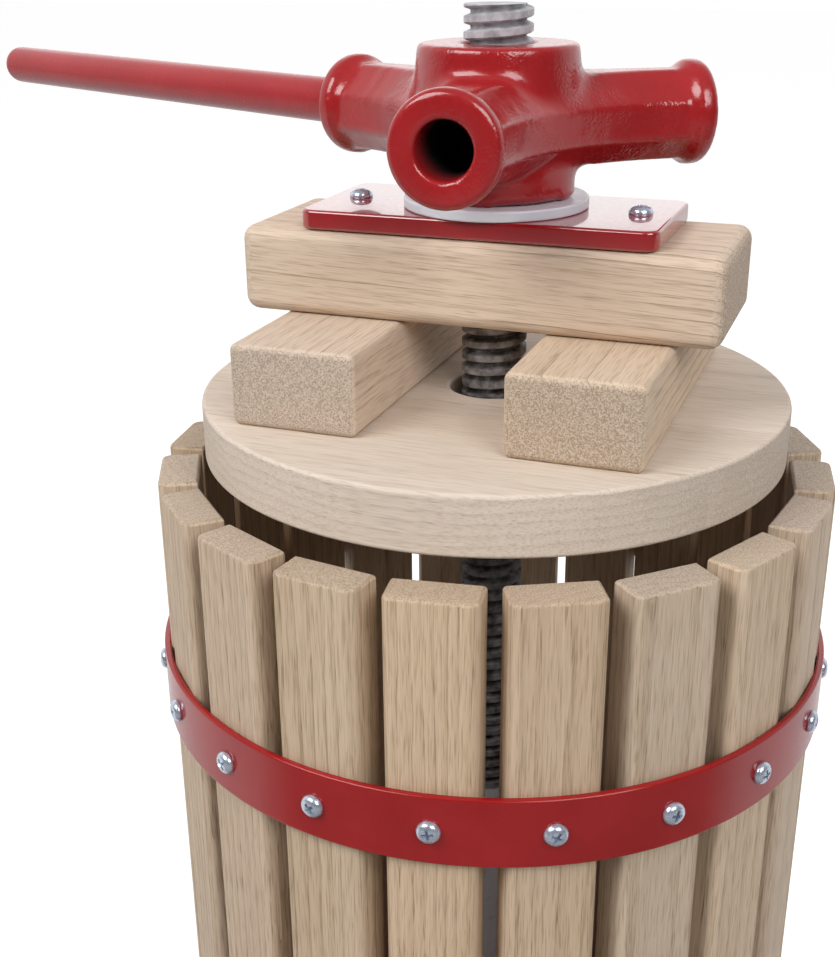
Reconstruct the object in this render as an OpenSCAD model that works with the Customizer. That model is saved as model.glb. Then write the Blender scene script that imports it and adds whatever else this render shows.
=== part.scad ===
// Fruit press with a slatted oak basket, a fixed screw spindle and a three-armed cast head.
// Millimetres. Z runs up the spindle, X along the cross beam, and z = 0 is the floor under the feet.

/* [Basket] */
// Clear width across the inside of the stave ring
basket_bore = 260; // [240:1:300]
// Height of a stave
stave_h = 400; // [340:1:460]
// Width of a stave
stave_w = 36; // [30:0.5:38]
// Thickness of a stave
stave_t = 17.5; // [14:0.5:24]
// Rounding of a stave's outer edges
stave_edge_r = 4; // [2:0.5:6]
// Width of a hoop
hoop_w = 30; // [20:1:45]
// Thickness of a hoop
hoop_t = 3; // [2:0.5:5]
// Distance from a stave's end to the middle of the nearer hoop
hoop_inset = 94; // [60:1:120]
// Diameter of a hoop screw's shank
hoop_screw_d = 4; // [3:0.25:5]
// Diameter of a hoop screw's head
hoop_screw_head_d = 9.2; // [8:0.1:11]
// Height of a hoop screw's head
hoop_screw_head_h = 3.2; // [2:0.1:4]
// Length of a hoop screw's shank
hoop_screw_l = 15; // [12:0.5:17]

/* [Press stack] */
// Gap between the disc's edge and the inside of the staves
disc_gap = 3; // [2:0.5:8]
// Thickness of the press disc
disc_t = 25; // [18:0.5:35]
// Diameter of the spindle hole in the disc
disc_hole_d = 38; // [32:0.5:50]
// Bevel of the disc's edges
disc_bevel = 1.5; // [0.5:0.5:4]
// Height of the disc above the stave tops at rest
press_lift = 7.35; // [2:0.05:12]
// Width of a block
block_w = 54; // [40:1:60]
// Height of a block
block_h = 34; // [25:0.5:45]
// Clear space between the two blocks
block_gap = 60; // [44:1:70]
// Distance that a block's corners stay inside the disc's edge
block_inset = 7.25; // [4:0.25:16]
// Easing of a block's edges
block_edge_r = 2; // [1:0.5:4]
// Width of the cross beam
beam_w = 73; // [60:1:90]
// Height of the cross beam
beam_h = 36.5; // [28:0.5:50]
// Distance from the beam's ends to the disc's edge
beam_inset = 25; // [15:1:40]
// Rounding of the beam's edges
beam_edge_r = 6; // [2:0.5:9]
// Diameter of the spindle hole in the beam
beam_hole_d = 32; // [30:0.5:40]
// Length of the pressure plate
plate_l = 150; // [120:1:180]
// Width of the pressure plate
plate_w = 70; // [56:1:90]
// Thickness of the pressure plate
plate_t = 8; // [5:0.5:12]
// Corner radius of the pressure plate
plate_corner_r = 6; // [2:0.5:12]
// Diameter of the spindle hole in the plate
plate_hole_d = 31; // [29.5:0.5:40]
// Distance from the plate's ends to its screws
plate_screw_inset = 14; // [9:0.5:24]
// Diameter of a plate screw's shank
plate_screw_d = 5; // [4:0.25:7]
// Diameter of a plate screw's head
plate_screw_head_d = 9.6; // [8:0.1:14]
// Height of a plate screw's head
plate_screw_head_h = 3.6; // [2.5:0.1:6]
// Length of a plate screw's shank
plate_screw_l = 26; // [14:0.5:36]
// Thickness of the thrust washer
washer_t = 4.5; // [3:0.5:12]
// Width of the washer's rim outside the hub
washer_rim = 6.25; // [1:0.25:12]

/* [Head and handle] */
// Height of the hub
hub_h = 60.5; // [50:0.5:80]
// Diameter of the hub at its foot
hub_foot_d = 64.5; // [56:0.5:72]
// Diameter of the hub at its top
hub_top_d = 65; // [54:0.5:68]
// Diameter of the hub's cone at the level of the arms' axis
hub_cone_d = 71; // [66:0.5:72]
// Bevel of the hub's end faces
hub_bevel = 2; // [0.5:0.5:4]
// Distance from the axis to a socket's face
arm_reach = 89; // [80:1:120]
// Width across the flats of an eight-sided arm
arm_af = 36; // [32:0.5:40]
// Radius of the hollow curve from one arm to the next, seen from above
web_r = 105; // [90:1:115]
// Thickness of the web that this curve bounds
web_t = 14; // [10:0.5:14.5]
// Diameter of the flared end
flare_d = 43; // [41:0.5:48]
// Length of the flared end
flare_l = 12; // [9:0.5:18]
// Rounding of the flared end's rim
flare_rim_r = 2.5; // [0.5:0.5:4]
// Depth of a handle socket
socket_depth = 56; // [35:1:60]
// Angle of the arm that holds the handle, from the beam's direction
handle_angle = 155; // [0:1:359]
// Diameter of the handle bar
bar_d = 20; // [14:0.5:22]
// Length of the handle bar
bar_l = 358; // [200:1:500]
// Rounding of the bar's ends
bar_end_r = 4; // [0.5:0.5:6]
// Gap round the bar in its socket
bar_play = 0.75; // [0.3:0.05:1]

/* [Spindle] */
// Diameter over the thread's crests
spindle_d = 28; // [24:0.5:28.5]
// Rise of the thread in one turn
thread_pitch = 6; // [4:0.5:8]
// Depth of the thread
thread_depth = 2.7; // [1.5:0.1:3.2]
// Length of the thread
thread_l = 361; // [250:1:400]
// Diameter of the plain shaft below the thread
shaft_d = 26; // [25:0.5:28]
// Height of the spindle's end above the hub at rest
spindle_over = 14.6; // [8:0.1:30]
// Gap between the thread's crests and the bore of the head and washer
thread_play = 0.4; // [0.3:0.05:0.7]
// Diameter of the stud at the spindle's foot
stud_d = 24; // [16:0.5:24.5]

/* [Base] */
// Height of the legs
leg_h = 112; // [80:1:200]
// Width of a leg's flat bar
leg_w = 40; // [30:1:60]
// Thickness of a leg's flat bar
leg_t = 6; // [4:0.5:10]
// Diameter of the bolt circle through the feet
foot_pcd = 370; // [340:1:440]
// Diameter of the holes in the feet
foot_hole_d = 9; // [6:0.5:12]
// Distance from a foot's hole to the foot's end
foot_end = 15; // [10:0.5:25]
// Thickness of the bearer
bearer_t = 8; // [5:0.5:14]
// Width of the bearer's arms
bearer_w = 60; // [50:1:90]
// Thickness of the tray's sheet
tray_t = 2; // [1:0.25:4]
// Width of the gutter between the hoop and the tray's rim
gutter_w = 22; // [10:1:40]
// Height of the tray's rim
rim_h = 30; // [18:1:50]
// Outward lean of the tray's rim
rim_lean = 6; // [0:0.5:15]
// Width of the tray's turned-out lip
lip_w = 6; // [3:0.5:12]
// Width of the spout
spout_w = 44; // [30:1:60]
// Length of the spout beyond the rim
spout_l = 55; // [30:1:90]
// Height of the spout's walls at its mouth
spout_mouth_h = 14; // [8:1:20]
// Distance from the axis to the leg bolts
leg_bolt_r = 104; // [80:1:110]
// Diameter of a leg bolt
leg_bolt_d = 8; // [6:0.5:10]
// Diameter of a leg bolt's head
leg_bolt_head_d = 17; // [13:0.5:22]
// Height of a leg bolt's head
leg_bolt_head_h = 4.5; // [3:0.5:7]
// Width across the flats of a leg nut
leg_nut_af = 13; // [12:0.5:18]
// Height of a leg nut
leg_nut_h = 6.5; // [4:0.5:10]
// Diameter of the collar that the spindle stands on
collar_d = 52; // [36:1:70]
// Height of that collar
collar_h = 12; // [6:0.5:20]
// Diameter of the spindle's washer
clamp_washer_d = 50; // [44:0.5:60]
// Thickness of the spindle's washer
clamp_washer_t = 4; // [2:0.5:8]
// Width across the flats of the spindle's nut
clamp_nut_af = 36; // [32:0.5:46]
// Height of the spindle's nut
clamp_nut_h = 19; // [10:0.5:26]
// Length of stud left below the spindle's nut
stud_over = 5; // [2:0.5:15]

/* [Fits] */
// Gap between the staves' feet and the tray's floor
foot_play = 0.05; // [0.02:0.01:0.2]
// Gap between a hoop and the stave edges that it binds
hoop_play = 0.05; // [0.02:0.01:0.2]
// Gap round a screw or bolt in its hole
screw_play = 0.15; // [0.1:0.05:0.5]
// Gap round a stud in a nut, washer or collar
stud_play = 0.15; // [0.1:0.05:0.4]
// Gap round a bolt or stud in a drilled plate
drill_play = 0.5; // [0.2:0.1:1]

/* [Hidden] */
// Staves in the ring, and arms on the head
stave_count = 20;
arm_count = 3;
leg_count = 3;
turn = 360;
right_angle = 90;
hex_sides = 6;
arm_sides = 8;
// Cutters run past the faces that they cut by this much
past = 1;

// Radii of the basket, from the inside out
stave_in = basket_bore / 2;
stave_out = stave_in + stave_t;
stave_corner = [stave_out - stave_edge_r, stave_w / 2 - stave_edge_r];
hoop_in = norm(stave_corner) + stave_edge_r + hoop_play;
hoop_out = hoop_in + hoop_t;
stave_step = turn / stave_count;

// Heights, from the floor up
bearer_z = leg_h;
tray_z = bearer_z + bearer_t;
floor_z = tray_z + tray_t;
stave_foot = floor_z + foot_play;
stave_top = stave_foot + stave_h;
hoop_heights = [stave_foot + hoop_inset, stave_top - hoop_inset];
disc_z = stave_top + press_lift;
block_z = disc_z + disc_t;
beam_z = block_z + block_h;
plate_z = beam_z + beam_h;
washer_z = plate_z + plate_t;
hub_z = washer_z + washer_t;
arm_z = hub_z + hub_h / 2;
hub_top = hub_z + hub_h;
spindle_top = hub_top + spindle_over;
collar_top = floor_z + collar_h;
clamp_washer_z = bearer_z - clamp_washer_t;
clamp_nut_z = clamp_washer_z - clamp_nut_h;
stud_z = clamp_nut_z - stud_over;

// Plan sizes of the press stack
disc_r = stave_in - disc_gap;
block_out = block_gap / 2 + block_w;
block_l = 2 * sqrt(pow(disc_r - block_inset, 2) - pow(block_out, 2));
block_x = block_gap / 2 + block_w / 2;
beam_l = 2 * (disc_r - beam_inset);
plate_screw_x = plate_l / 2 - plate_screw_inset;

// Spindle, bore and sockets
bore_r = spindle_d / 2 + thread_play;
root_r = spindle_d / 2 - thread_depth;
socket_r = bar_d / 2 + bar_play;
socket_floor = arm_reach - socket_depth;
stud_hole_r = stud_d / 2 + stud_play;
washer_r = hub_foot_d / 2 + washer_rim;

// The web's sides start just inside the arms' flats, where its curves leave them
arm_step = turn / arm_count;
web_inset = 0.5;
web_half = arm_af / 2 - web_inset;
web_from = (web_half + web_r) / tan(arm_step / 2);
web_sweep = turn / 2 - arm_step;
web_segments = 12;

// Thread
thread_segments = 16;
// Shares of the pitch that the flank and the crest take up along the axis
flank = 0.14 * thread_pitch;
crest = 0.36 * thread_pitch;
ridge = 2 * flank + crest;
thread_turns = floor((thread_l - ridge) / thread_pitch);
thread_steps = thread_turns * thread_segments;
thread_lead = (thread_l - thread_turns * thread_pitch - ridge) / 2 + flank;
thread_h = thread_turns * thread_pitch + ridge + 2 * thread_lead;
thread_z = spindle_top - thread_h;
// Length of thread core that stands inside the plain shaft
core_sunk = thread_pitch;

// Tray, spout, legs and bearer
rim_foot_r = hoop_out + gutter_w;
rim_top_r = rim_foot_r + rim_h * tan(rim_lean);
lip_r = rim_top_r + lip_w;
spout_angle = 270;
spout_reach = rim_foot_r + spout_l;
leg_angles = [for (i = [0:leg_count - 1]) right_angle + i * turn / leg_count];
leg_bolt_hole_r = leg_bolt_d / 2 + drill_play;
foot_r = foot_pcd / 2;
foot_bend = foot_r - foot_end - foot_hole_d / 2;
tab_end = leg_bolt_r - leg_w / 2;
tab_bend = leg_bolt_r + leg_w / 2 + leg_t;
bearer_reach = leg_bolt_r + leg_w / 2;
leg_bolt_l = tray_t + bearer_t + leg_t + leg_nut_h + stud_over;
leg_nut_z = bearer_z - leg_t - leg_nut_h;

wood = "burlywood";
red = "firebrick";
steel = "slategray";
zinc = "silver";

leg_names = ["leg_rear", "leg_left", "leg_right"];
stave_names = [for (i = [1:stave_count]) str("stave_", i < 10 ? "0" : "", i)];

$fn = 64;

// Outline of a bent strip: the path on one side, the same path moved right by t on the other
function unit(v) = v / norm(v);
function right_of(v) = [v[1], -v[0]];
function side(path, i) = right_of(unit(path[i + 1] - path[i]));
function before(path, i) = side(path, max(i - 1, 0));
function after(path, i) = side(path, min(i, len(path) - 2));
function moved(path, i, t) =
  path[i] + t * (before(path, i) + after(path, i)) / (1 + before(path, i) * after(path, i));
function strip(path, t) =
  concat(path, [for (i = [len(path) - 1:-1:0]) moved(path, i, t)]);

// Thread points: four to a step of the helix, then the ring below and the ring above
function at_angle(r, a, z) = [r * cos(a), r * sin(a), z];
function step_angle(i) = turn * i / thread_segments;
function step_z(i) = thread_lead + thread_pitch * i / thread_segments;
function helix_point(i, k) = at_angle(
  k == 1 || k == 2 ? spindle_d / 2 : root_r,
  step_angle(i),
  step_z(i) + [0, flank, flank + crest, ridge][k]
);
function ring_points(z) = [for (j = [0:thread_segments - 1]) at_angle(root_r, step_angle(j), z)];
function thread_points() = concat(
  [for (i = [0:thread_steps]) for (k = [0:3]) helix_point(i, k)],
  ring_points(-core_sunk),
  ring_points(thread_h)
);

// Numbers of those points
function p(i, k) = 4 * i + k;
function low(j) = 4 * (thread_steps + 1) + j % thread_segments;
function high(j) = low(0) + thread_segments + j % thread_segments;

// Two triangles across a four-cornered patch, given clockwise from outside
function patch(a, b, c, d) = [[a, b, c], [a, c, d]];
// Triangles from one corner to a run of points, given clockwise from outside
function fan(a, run) = [for (i = [0:len(run) - 2]) [a, run[i], run[i + 1]]];

function thread_faces() =
  let (n = thread_segments, s = thread_steps, m = thread_steps - thread_segments)
  concat(
    [for (i = [0:s - 1]) for (k = [0:2]) each patch(p(i, k), p(i, k + 1), p(i + 1, k + 1), p(i + 1, k))],
    [for (i = [0:m - 1]) each patch(p(i, 3), p(i + n, 0), p(i + n + 1, 0), p(i + 1, 3))],
    [for (j = [0:n - 2]) each patch(low(j), p(j, 0), p(j + 1, 0), low(j + 1))],
    fan(low(n - 1), [p(n - 1, 0), p(n, 0), p(0, 3), p(0, 0), low(0)]),
    patch(p(0, 3), p(0, 2), p(0, 1), p(0, 0)),
    [for (j = [1:n - 1]) each patch(p(m + j, 3), high(j), high(j + 1), p(m + j + 1, 3))],
    fan(p(m + 1, 3), [p(m, 3), p(s, 0), p(s, 3), high(0), high(1)]),
    patch(p(s, 0), p(s, 1), p(s, 2), p(s, 3)),
    [[for (j = [0:n - 1]) low(j)]],
    [[for (j = [n - 1:-1:0]) high(j)]]
  );

// Rectangle with round corners, about its centre
module rounded_rect(w, h, r) {
  square([w - 2 * r, h], center = true);
  square([w, h - 2 * r], center = true);
  for (x = [-1, 1])
    for (y = [-1, 1])
      translate([x * (w / 2 - r), y * (h / 2 - r)])
        circle(r);
}

// Wooden bar with all its edges rounded, standing on z = 0
module eased_bar(l, w, h, r) {
  translate([0, 0, h / 2])
    intersection() {
      linear_extrude(h, center = true)
        rounded_rect(l, w, r);
      rotate([right_angle, 0, 0])
        linear_extrude(w, center = true)
          rounded_rect(l, h, r);
      rotate([right_angle, 0, right_angle])
        linear_extrude(l, center = true)
          rounded_rect(w, h, r);
    }
}

// Hole down through a piece that stands on z = 0
module drill(d, h) {
  translate([0, 0, -past])
    cylinder(d = d, h = h + 2 * past);
}

// Round screw or bolt, its head's underside on z = 0 and its shank pointing down
module dome_screw(d, l, head_d, head_h) {
  dome_r = (head_d * head_d / 4 + head_h * head_h) / (2 * head_h);
  intersection() {
    translate([0, 0, head_h - dome_r])
      sphere(dome_r);
    cylinder(d = head_d, h = head_h);
  }
  translate([0, 0, -l])
    cylinder(d = d, h = l);
}

// Six-sided nut on z = 0 with a round hole
module hex_nut(af, h, hole_r) {
  difference() {
    cylinder(d = af / cos(turn / hex_sides / 2), h = h, $fn = hex_sides);
    drill(2 * hole_r, h);
  }
}

// One stave's place in the ring, and the radial line of its screws
module at_stave(i) {
  rotate([0, 0, (i - 0.5) * stave_step])
    children();
}

module radial(r, z) {
  translate([r, 0, z])
    rotate([0, right_angle, 0])
      children();
}

module stave_section() {
  translate([stave_in, -stave_w / 2])
    square([stave_t - stave_edge_r, stave_w]);
  translate([stave_in, -stave_corner[1]])
    square([stave_t, 2 * stave_corner[1]]);
  for (y = [-1, 1])
    translate([stave_corner[0], y * stave_corner[1]])
      circle(stave_edge_r);
}

module stave(i) {
  color(wood)
    at_stave(i)
      difference() {
        translate([0, 0, stave_foot])
          linear_extrude(stave_h)
            stave_section();
        for (z = hoop_heights)
          radial(hoop_out - hoop_screw_l - screw_play, z)
            cylinder(d = hoop_screw_d + 2 * screw_play, h = hoop_screw_l + past);
      }
}

module hoop(z) {
  color(red)
    difference() {
      translate([0, 0, z - hoop_w / 2])
        difference() {
          cylinder(r = hoop_out, h = hoop_w);
          drill(2 * hoop_in, hoop_w);
        }
      for (i = [1:stave_count])
        at_stave(i)
          radial(hoop_in - past, z)
            cylinder(d = hoop_screw_d + 2 * screw_play, h = hoop_t + 2 * past);
    }
}

module hoop_screws(z) {
  color(zinc)
    for (i = [1:stave_count])
      at_stave(i)
        radial(hoop_out, z)
          dome_screw(hoop_screw_d, hoop_screw_l, hoop_screw_head_d, hoop_screw_head_h);
}

module hoop_upper() {
  hoop(hoop_heights[1]);
}

module hoop_lower() {
  hoop(hoop_heights[0]);
}

module hoop_screws_upper() {
  hoop_screws(hoop_heights[1]);
}

module hoop_screws_lower() {
  hoop_screws(hoop_heights[0]);
}

module press_disc() {
  color(wood)
    translate([0, 0, disc_z])
      rotate_extrude()
        polygon([
          [disc_hole_d / 2, 0], [disc_r - disc_bevel, 0], [disc_r, disc_bevel],
          [disc_r, disc_t - disc_bevel], [disc_r - disc_bevel, disc_t], [disc_hole_d / 2, disc_t]
        ]);
}

module block(x) {
  color(wood)
    translate([x, 0, block_z])
      eased_bar(block_w, block_l, block_h, block_edge_r);
}

module block_left() {
  block(-block_x);
}

module block_right() {
  block(block_x);
}

module cross_beam() {
  color(wood)
    translate([0, 0, beam_z])
      difference() {
        eased_bar(beam_l, beam_w, beam_h, beam_edge_r);
        drill(beam_hole_d, beam_h);
        for (x = [-1, 1])
          translate([x * plate_screw_x, 0, beam_h + plate_t - plate_screw_l - screw_play])
            cylinder(d = plate_screw_d + 2 * screw_play, h = plate_screw_l);
      }
}

module pressure_plate() {
  color(red)
    translate([0, 0, plate_z])
      difference() {
        linear_extrude(plate_t)
          rounded_rect(plate_l, plate_w, plate_corner_r);
        drill(plate_hole_d, plate_t);
        for (x = [-1, 1])
          translate([x * plate_screw_x, 0, 0])
            drill(plate_screw_d + 2 * screw_play, plate_t);
      }
}

module plate_screws() {
  color(zinc)
    for (x = [-1, 1])
      translate([x * plate_screw_x, 0, washer_z])
        dome_screw(plate_screw_d, plate_screw_l, plate_screw_head_d, plate_screw_head_h);
}

module thrust_washer() {
  color("whitesmoke")
    translate([0, 0, washer_z])
      difference() {
        cylinder(r = washer_r, h = washer_t);
        drill(2 * bore_r, washer_t);
      }
}

// An arm of the head runs along +Z here, eight-sided up to its flared end
module arm() {
  half_side = turn / arm_sides / 2;
  start = hub_foot_d / 4;
  rotate([0, 0, half_side])
    translate([0, 0, start])
      cylinder(d = arm_af / cos(half_side), h = arm_reach - flare_l / 2 - start, $fn = arm_sides);
  rotate_extrude()
    polygon([
      [0, arm_reach - flare_l], [flare_d / 2 - flare_rim_r, arm_reach - flare_l],
      [flare_d / 2, arm_reach - flare_l + flare_rim_r], [flare_d / 2, arm_reach - flare_rim_r],
      [flare_d / 2 - flare_rim_r, arm_reach], [0, arm_reach]
    ]);
}

// Straight foot, and a cone from the web up
module hub_outline() {
  middle = hub_h / 2;
  polygon([
    [0, 0], [hub_foot_d / 2 - hub_bevel, 0], [hub_foot_d / 2, hub_bevel], [hub_foot_d / 2, middle],
    [hub_cone_d / 2, middle], [hub_top_d / 2, hub_h - hub_bevel], [hub_top_d / 2 - hub_bevel, hub_h], [0, hub_h]
  ]);
}

// Point k on the hollow curve from an arm along +X to the next one
function web_point(k) =
  let (a = -right_angle - web_sweep * k / web_segments)
  [web_from + web_r * cos(a), web_half + web_r + web_r * sin(a)];
function turned(v, a) = [v[0] * cos(a) - v[1] * sin(a), v[0] * sin(a) + v[1] * cos(a)];

module web() {
  translate([0, 0, arm_z])
    linear_extrude(web_t, center = true)
      polygon([
        for (i = [0:arm_count - 1])
          for (k = [0:web_segments])
            turned(web_point(k), handle_angle + i * arm_step)
      ]);
}

module at_arm(i) {
  rotate([0, 0, handle_angle + i * arm_step])
    radial(0, arm_z)
      children();
}

module press_head() {
  color(red)
    difference() {
      union() {
        translate([0, 0, hub_z])
          rotate_extrude()
            hub_outline();
        web();
        for (i = [0:arm_count - 1])
          at_arm(i)
            arm();
      }
      translate([0, 0, hub_z])
        drill(2 * bore_r, hub_h);
      for (i = [0:arm_count - 1])
        at_arm(i)
          translate([0, 0, socket_floor])
            cylinder(r = socket_r, h = socket_depth + past);
    }
}

module handle_bar() {
  color(red)
    at_arm(0)
      translate([0, 0, socket_floor])
        rotate_extrude()
          polygon([
            [0, 0], [bar_d / 2 - bar_end_r, 0], [bar_d / 2, bar_end_r],
            [bar_d / 2, bar_l - bar_end_r], [bar_d / 2 - bar_end_r, bar_l], [0, bar_l]
          ]);
}

module spindle() {
  color(steel) {
    translate([0, 0, thread_z])
      polyhedron(thread_points(), thread_faces());
    translate([0, 0, collar_top])
      cylinder(d = shaft_d, h = thread_z - collar_top);
    translate([0, 0, stud_z])
      cylinder(d = stud_d, h = collar_top - stud_z);
  }
}

module tray_dish() {
  rotate_extrude()
    polygon(strip([
      [stud_d / 2 + drill_play, floor_z], [rim_foot_r, floor_z],
      [rim_top_r, floor_z + rim_h], [lip_r, floor_z + rim_h]
    ], tray_t));
}

// Spout seen from the side: rim height at the tray, lower at the mouth
module spout_side() {
  polygon([
    [rim_foot_r, tray_z], [spout_reach, tray_z], [spout_reach, floor_z + spout_mouth_h],
    [rim_top_r + tray_t, floor_z + rim_h], [rim_top_r, floor_z + rim_h], [rim_foot_r, floor_z]
  ]);
}

module juice_tray() {
  color(red)
    difference() {
      union() {
        tray_dish();
        rotate([right_angle, 0, spout_angle])
          linear_extrude(spout_w, center = true)
            spout_side();
      }
      rotate([0, 0, spout_angle])
        translate([rim_foot_r - gutter_w / 2, tray_t - spout_w / 2, floor_z])
          cube([spout_reach, spout_w - 2 * tray_t, rim_h + past]);
      for (a = leg_angles)
        rotate([0, 0, a])
          translate([leg_bolt_r, 0, tray_z])
            drill(2 * leg_bolt_hole_r, tray_t);
    }
}

module bearer() {
  color(red)
    translate([0, 0, bearer_z])
      difference() {
        union() {
          cylinder(d = clamp_washer_d + bearer_w / 2, h = bearer_t);
          for (a = leg_angles)
            rotate([0, 0, a])
              translate([0, -bearer_w / 2, 0])
                cube([bearer_reach, bearer_w, bearer_t]);
        }
        drill(stud_d + 2 * drill_play, bearer_t);
        for (a = leg_angles)
          rotate([0, 0, a])
            translate([leg_bolt_r, 0, 0])
              drill(2 * leg_bolt_hole_r, bearer_t);
      }
}

module leg(angle) {
  color(red)
    rotate([0, 0, angle])
      difference() {
        rotate([right_angle, 0, 0])
          linear_extrude(leg_w, center = true)
            polygon(strip([
              [tab_end, leg_h], [tab_bend, leg_h], [foot_bend, leg_t], [foot_r + foot_end, leg_t]
            ], leg_t));
        translate([leg_bolt_r, 0, leg_h - leg_t])
          drill(2 * leg_bolt_hole_r, leg_t);
        translate([foot_r, 0, 0])
          drill(foot_hole_d, leg_t);
      }
}

module leg_bolts() {
  color(zinc)
    for (a = leg_angles)
      rotate([0, 0, a])
        translate([leg_bolt_r, 0, floor_z])
          dome_screw(leg_bolt_d, leg_bolt_l, leg_bolt_head_d, leg_bolt_head_h);
}

module leg_nuts() {
  color(zinc)
    for (a = leg_angles)
      rotate([0, 0, a])
        translate([leg_bolt_r, 0, leg_nut_z])
          hex_nut(leg_nut_af, leg_nut_h, leg_bolt_d / 2 + stud_play);
}

module spindle_collar() {
  color(steel)
    translate([0, 0, floor_z])
      difference() {
        cylinder(d = collar_d, h = collar_h);
        drill(2 * stud_hole_r, collar_h);
      }
}

module clamp_washer() {
  color(zinc)
    translate([0, 0, clamp_washer_z])
      difference() {
        cylinder(d = clamp_washer_d, h = clamp_washer_t);
        drill(2 * stud_hole_r, clamp_washer_t);
      }
}

module clamp_nut() {
  color(zinc)
    translate([0, 0, clamp_nut_z])
      hex_nut(clamp_nut_af, clamp_nut_h, stud_hole_r);
}

for (i = [1:stave_count])
  stave(i);
for (i = [0:leg_count - 1])
  leg(leg_angles[i]);
hoop_upper();
hoop_lower();
hoop_screws_upper();
hoop_screws_lower();
press_disc();
block_left();
block_right();
cross_beam();
pressure_plate();
plate_screws();
thrust_washer();
press_head();
handle_bar();
spindle();
juice_tray();
bearer();
leg_bolts();
leg_nuts();
spindle_collar();
clamp_washer();
clamp_nut();
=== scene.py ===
import math
import random
import bmesh
import bpy
from mathutils import Matrix, Vector


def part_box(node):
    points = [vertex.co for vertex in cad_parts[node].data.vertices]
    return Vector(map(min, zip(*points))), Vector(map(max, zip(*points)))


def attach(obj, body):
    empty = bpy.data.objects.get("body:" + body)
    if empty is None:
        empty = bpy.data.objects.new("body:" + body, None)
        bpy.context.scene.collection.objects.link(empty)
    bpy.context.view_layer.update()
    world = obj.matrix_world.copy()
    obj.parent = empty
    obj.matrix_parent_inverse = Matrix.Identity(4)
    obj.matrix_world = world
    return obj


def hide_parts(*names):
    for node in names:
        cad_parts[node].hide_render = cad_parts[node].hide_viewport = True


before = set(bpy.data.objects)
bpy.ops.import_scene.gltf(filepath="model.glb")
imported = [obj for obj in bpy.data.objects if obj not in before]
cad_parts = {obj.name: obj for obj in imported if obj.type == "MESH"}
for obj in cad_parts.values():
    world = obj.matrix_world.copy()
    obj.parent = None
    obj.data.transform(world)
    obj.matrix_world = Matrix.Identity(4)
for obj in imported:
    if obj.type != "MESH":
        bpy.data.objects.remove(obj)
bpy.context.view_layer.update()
print("frame loaded:", len(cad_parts), "nodes")

scene = bpy.context.scene
scene.view_settings.view_transform = "Standard"
mm = 0.001
chance = random.Random(11)


# camera, at the photograph's place
camera = {
    "azimuth": 20.769,
    "elevation": 22.102,
    "distance": 606.54 * mm,
    "across": -33.84 * mm,  # aim point, sideways from the spindle
    "height": 509.88 * mm,
    "roll": -0.493,
    "focalPixels": 1341.3,
    "longSidePixels": 957,
    "sensorWide": 36,
}


def placeCamera(c):
    turn, tilt, roll = (math.radians(c[k]) for k in ("azimuth", "elevation", "roll"))
    back = Vector((math.sin(turn) * math.cos(tilt), -math.cos(turn) * math.cos(tilt), math.sin(tilt)))
    right = Vector((math.cos(turn), math.sin(turn), 0))
    up = back.cross(right)
    aim = right * c["across"] + Vector((0, 0, c["height"]))
    lens = bpy.data.cameras.new("photoCamera")
    lens.sensor_width = c["sensorWide"]
    lens.lens = c["sensorWide"] * c["focalPixels"] / c["longSidePixels"]
    lens.clip_start = 0.01
    eye = bpy.data.objects.new("photoCamera", lens)
    scene.collection.objects.link(eye)
    rolledRight = right * math.cos(roll) + up * math.sin(roll)
    rolledUp = up * math.cos(roll) - right * math.sin(roll)
    axes = Matrix((rolledRight, rolledUp, back)).transposed().to_4x4()
    eye.matrix_world = Matrix.Translation(aim + back * c["distance"]) @ axes
    scene.camera = eye


placeCamera(camera)
print("camera placed")


# node helpers
def feed(tree, socket, value):
    if isinstance(value, bpy.types.NodeSocket):
        tree.links.new(value, socket)
    else:
        socket.default_value = value


def addNode(tree, kind, sockets=None, **settings):
    node = tree.nodes.new("ShaderNode" + kind)
    for name, value in settings.items():
        setattr(node, name, value)
    for name, value in (sockets or {}).items():
        feed(tree, node.inputs[name], value)
    return node


def calc(tree, operation, a, b=0.0, clamp=False):
    node = addNode(tree, "Math", {0: a, 1: b}, operation=operation, use_clamp=clamp)
    return node.outputs[0]


def plus(tree, a, b, clamp=False):
    return calc(tree, "ADD", a, b, clamp)


def times(tree, a, b, clamp=False):
    return calc(tree, "MULTIPLY", a, b, clamp)


def remap(tree, value, fromLow, fromHigh, toLow=0.0, toHigh=1.0, soft=False):
    node = addNode(
        tree, "MapRange",
        {"Value": value, "From Min": fromLow, "From Max": fromHigh, "To Min": toLow, "To Max": toHigh},
        interpolation_type="SMOOTHSTEP" if soft else "LINEAR",
    )
    return node.outputs[0]


def blendColour(tree, amount, a, b, mode="MIX"):
    node = addNode(tree, "Mix", data_type="RGBA", blend_type=mode)
    feed(tree, node.inputs[0], amount)
    feed(tree, node.inputs[6], a)
    feed(tree, node.inputs[7], b)
    return node.outputs[2]


def stretch(tree, place, x, y, z):
    return addNode(tree, "VectorMath", {0: place, 1: (x, y, z)}, operation="MULTIPLY").outputs[0]


def noise(tree, place, scale, detail=2.0, roughness=0.5):
    sockets = {"Vector": place, "Scale": scale, "Detail": detail, "Roughness": roughness}
    return addNode(tree, "TexNoise", sockets).outputs[0]


def newGroup(name, inputs, outputs):
    tree = bpy.data.node_groups.new(name, "ShaderNodeTree")
    for label, kind, start in inputs:
        socket = tree.interface.new_socket(label, in_out="INPUT", socket_type="NodeSocket" + kind)
        socket.default_value = start
    for label, kind in outputs:
        tree.interface.new_socket(label, in_out="OUTPUT", socket_type="NodeSocket" + kind)
    return tree, tree.nodes.new("NodeGroupInput").outputs, tree.nodes.new("NodeGroupOutput").inputs


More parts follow.
